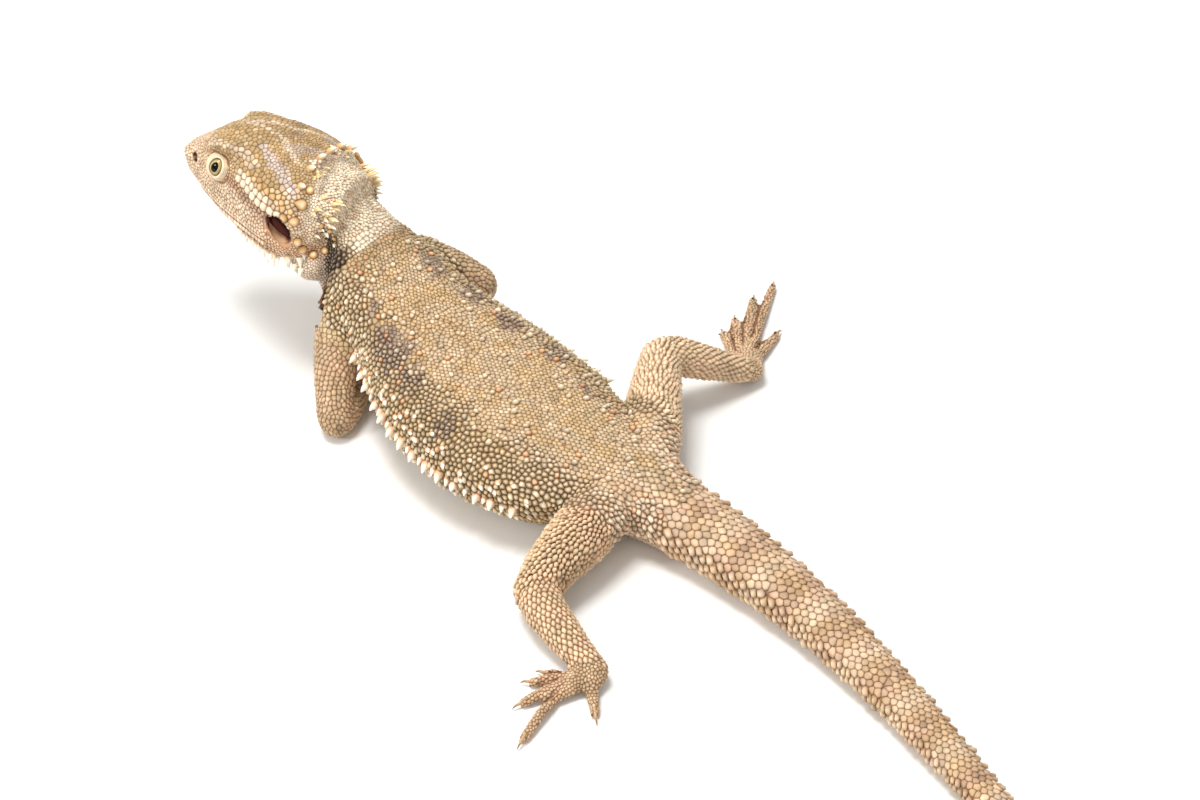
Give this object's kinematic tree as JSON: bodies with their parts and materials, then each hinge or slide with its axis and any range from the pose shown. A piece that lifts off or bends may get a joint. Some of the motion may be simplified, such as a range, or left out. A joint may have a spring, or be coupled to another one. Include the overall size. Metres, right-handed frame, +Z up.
{
  "type": "bearded dragon model",
  "caption": "Life-size still model of a half-grown central bearded dragon lying with raised head, legs spread and tail laid back.",
  "frame": {"origin": "on the floor under the middle of the resting belly", "axes": "+Z up, the animal faces -Y, its left side is +X, and its tail lies towards +Y"},
  "size_m": [0.1713, 0.3573, 0.0633],
  "materials": {
    "skin_body": "matt keeled scales, sand and ochre with olive-brown blotches",
    "skin_tail": "matt keeled scales in rings, pinkish sand with brown bands",
    "skin_legs": "matt keeled scales, pale pinkish beige",
    "eye": "polished, greenish gold iris round a black pupil",
    "eardrum": "smooth, dark maroon",
    "claw": "smooth dark horn"
  },
  "bodies": {
    "root": {"head": "skin_body", "jaw": "skin_body", "neck": "skin_body", "trunk": "skin_body", "tail_1": "skin_tail", "tail_2": "skin_tail", "tail_3": "skin_tail", "tail_4": "skin_tail", "tail_5": "skin_tail", "upper_arm_left": "skin_legs", "forearm_left": "skin_legs", "hand_left": "skin_legs", "thigh_left": "skin_legs", "shank_left": "skin_legs", "foot_left": "skin_legs", "upper_arm_right": "skin_legs", "forearm_right": "skin_legs", "hand_right": "skin_legs", "thigh_right": "skin_legs", "shank_right": "skin_legs", "foot_right": "skin_legs", "eye_left": "eye", "eye_right": "eye", "eardrum_left": "eardrum", "eardrum_right": "eardrum", "claw_hand_left_1": "claw", "claw_hand_left_2": "claw", "claw_hand_left_3": "claw", "claw_hand_left_4": "claw", "claw_hand_left_5": "claw", "claw_hand_right_1": "claw", "claw_hand_right_2": "claw", "claw_hand_right_3": "claw", "claw_hand_right_4": "claw", "claw_hand_right_5": "claw", "claw_foot_left_1": "claw", "claw_foot_left_2": "claw", "claw_foot_left_3": "claw", "claw_foot_left_4": "claw", "claw_foot_left_5": "claw", "claw_foot_right_1": "claw", "claw_foot_right_2": "claw", "claw_foot_right_3": "claw", "claw_foot_right_4": "claw", "claw_foot_right_5": "claw"}
  },
  "joints": []
}
